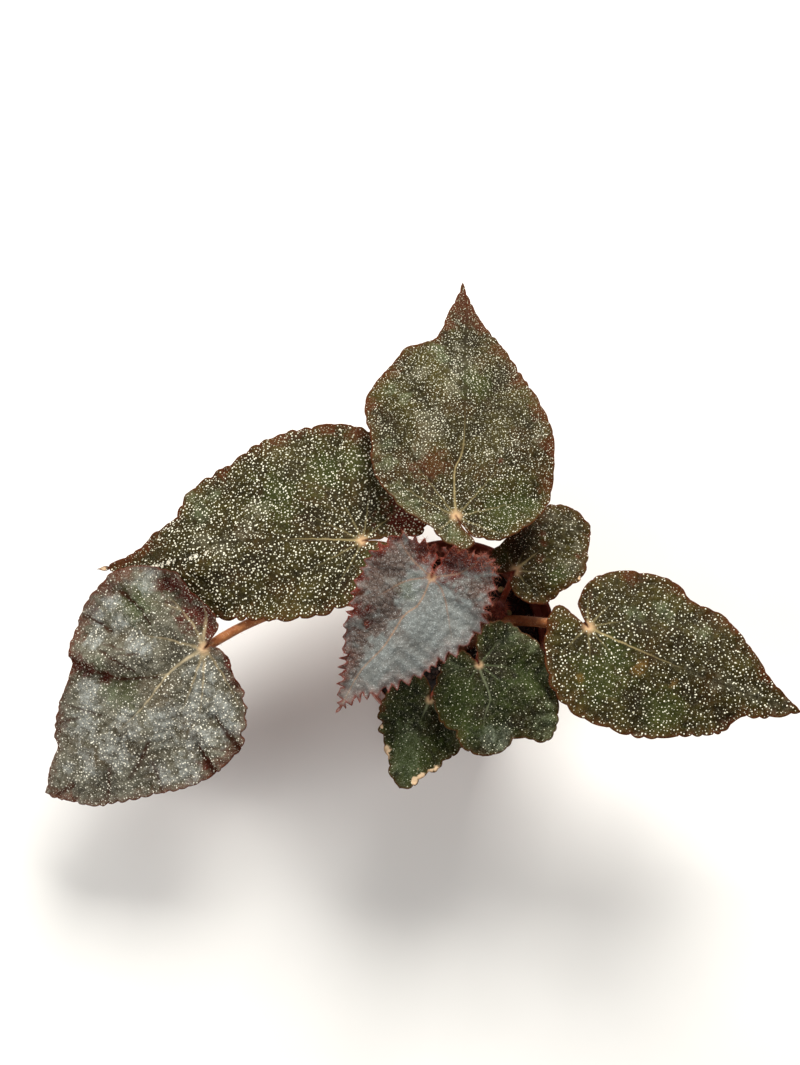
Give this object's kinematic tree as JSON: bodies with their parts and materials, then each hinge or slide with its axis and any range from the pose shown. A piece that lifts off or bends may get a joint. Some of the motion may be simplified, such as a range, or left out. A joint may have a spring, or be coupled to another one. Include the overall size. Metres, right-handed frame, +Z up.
{
  "type": "potted begonia",
  "caption": "Rhizomatous begonia with pointed, dotted, dark leaves on hairy stalks, growing in a small round plastic nursery pot.",
  "frame": {"origin": "centre of the pot's underside, in the plane it rests on", "axes": "+Z up along the pot's axis; -Y is the front, the side the picture looks from"},
  "size_m": [0.3211, 0.2351, 0.148],
  "materials": {
    "pot_plastic": "satin brown plastic",
    "peat": "damp crumbly peat",
    "rhizome_skin": "rough scaly skin",
    "bud_scales": "hairy",
    "prill": "smooth",
    "blade_olive": "satin leaf, dotted",
    "blade_silver": "silvery satin leaf",
    "blade_grey": "grey-green puckered satin leaf, dotted",
    "blade_green": "matte green leaf, dotted",
    "petiole_skin": "hairy red-brown stalk"
  },
  "bodies": {
    "root": {"pot": "pot_plastic", "soil": "peat", "rhizome": "rhizome_skin", "crown_bud": "bud_scales", "prill_near": "prill", "prill_far": "prill", "blade_back": "blade_olive", "blade_left": "blade_olive", "blade_right": "blade_olive", "blade_small": "blade_olive", "blade_centre": "blade_silver", "blade_low_left": "blade_grey", "blade_front": "blade_green", "blade_front_low": "blade_green", "petiole_back": "petiole_skin", "petiole_left": "petiole_skin", "petiole_right": "petiole_skin", "petiole_small": "petiole_skin", "petiole_centre": "petiole_skin", "petiole_low_left": "petiole_skin", "petiole_front": "petiole_skin", "petiole_front_low": "petiole_skin"}
  },
  "joints": []
}
